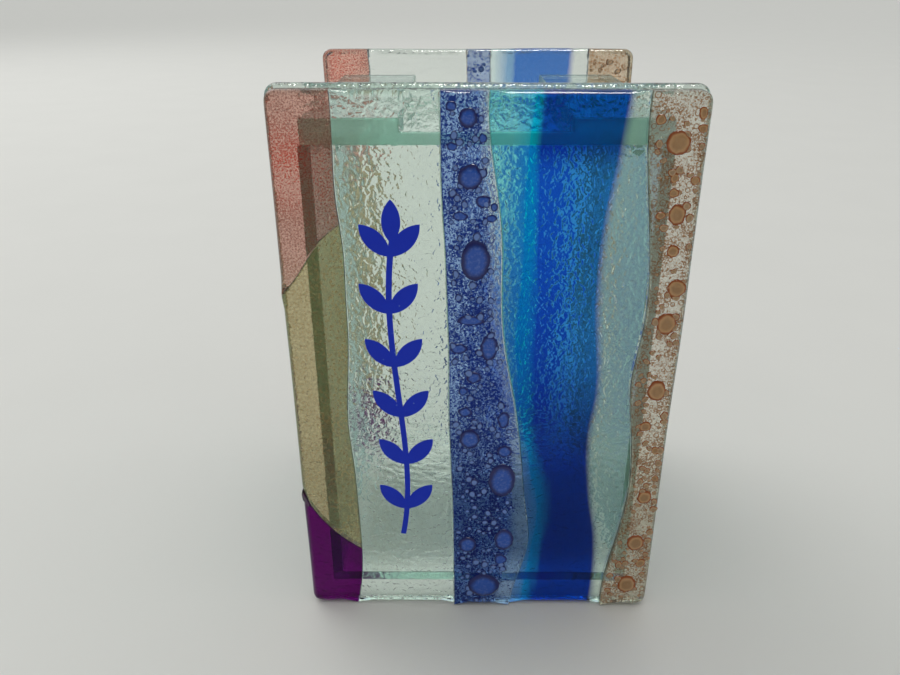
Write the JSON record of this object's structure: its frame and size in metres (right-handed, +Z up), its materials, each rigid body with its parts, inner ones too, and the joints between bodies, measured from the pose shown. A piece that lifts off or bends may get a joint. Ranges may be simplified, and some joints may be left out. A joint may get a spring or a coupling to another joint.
{
  "type": "glass coin box",
  "caption": "Upright fused-glass coin box: decorated front and rear panels, clear glass body between them, and a lift-off glass lid with a coin slot.",
  "frame": {"origin": "on the surface the box stands on, at the middle of the box's width and depth", "axes": "+X to the right as the front panel is looked at, +Y from the front panel to the rear one, +Z up"},
  "size_m": [0.102, 0.0968, 0.152],
  "materials": {
    "rippled_clear_glass": "fire polished, rippled inner face",
    "red_frit_glass": "fused, speckled",
    "cream_glass": "fused, glossy",
    "purple_glass": "fused, glossy",
    "clear_strip_glass": "fused, glossy",
    "blue_bubble_glass": "fused, bubbled and speckled",
    "streaky_blue_glass": "fused, streaked",
    "copper_bubble_glass": "fused, bubbled and speckled",
    "blue_enamel": "fired glass enamel",
    "clear_float_glass": "polished, greenish edges",
    "clear_lid_glass": "fused, greenish edges"
  },
  "bodies": {
    "box": {"front_base_sheet": "rippled_clear_glass", "front_red_strip": "red_frit_glass", "front_cream_strip": "cream_glass", "front_purple_strip": "purple_glass", "front_clear_strip": "clear_strip_glass", "front_blue_bubble_strip": "blue_bubble_glass", "front_streaky_strip": "streaky_blue_glass", "front_copper_bubble_strip": "copper_bubble_glass", "front_enamel_sprig": "blue_enamel", "rear_base_sheet": "rippled_clear_glass", "rear_red_strip": "red_frit_glass", "rear_cream_strip": "cream_glass", "rear_purple_strip": "purple_glass", "rear_clear_strip": "clear_strip_glass", "rear_blue_bubble_strip": "blue_bubble_glass", "rear_streaky_strip": "streaky_blue_glass", "rear_copper_bubble_strip": "copper_bubble_glass", "left_wall": "clear_float_glass", "right_wall": "clear_float_glass", "floor_plate": "clear_float_glass"},
    "lid": {"lid_front_strip": "clear_lid_glass", "lid_rear_strip": "clear_lid_glass", "lid_left_block": "clear_lid_glass", "lid_right_block": "clear_lid_glass", "lid_left_locator": "clear_lid_glass", "lid_right_locator": "clear_lid_glass"}
  },
  "joints": [
    {"name": "lid_lift", "type": "slide", "parent": "box", "child": "lid", "axis": [0, 0, 1], "range_m": [0, 0.06]}
  ]
}
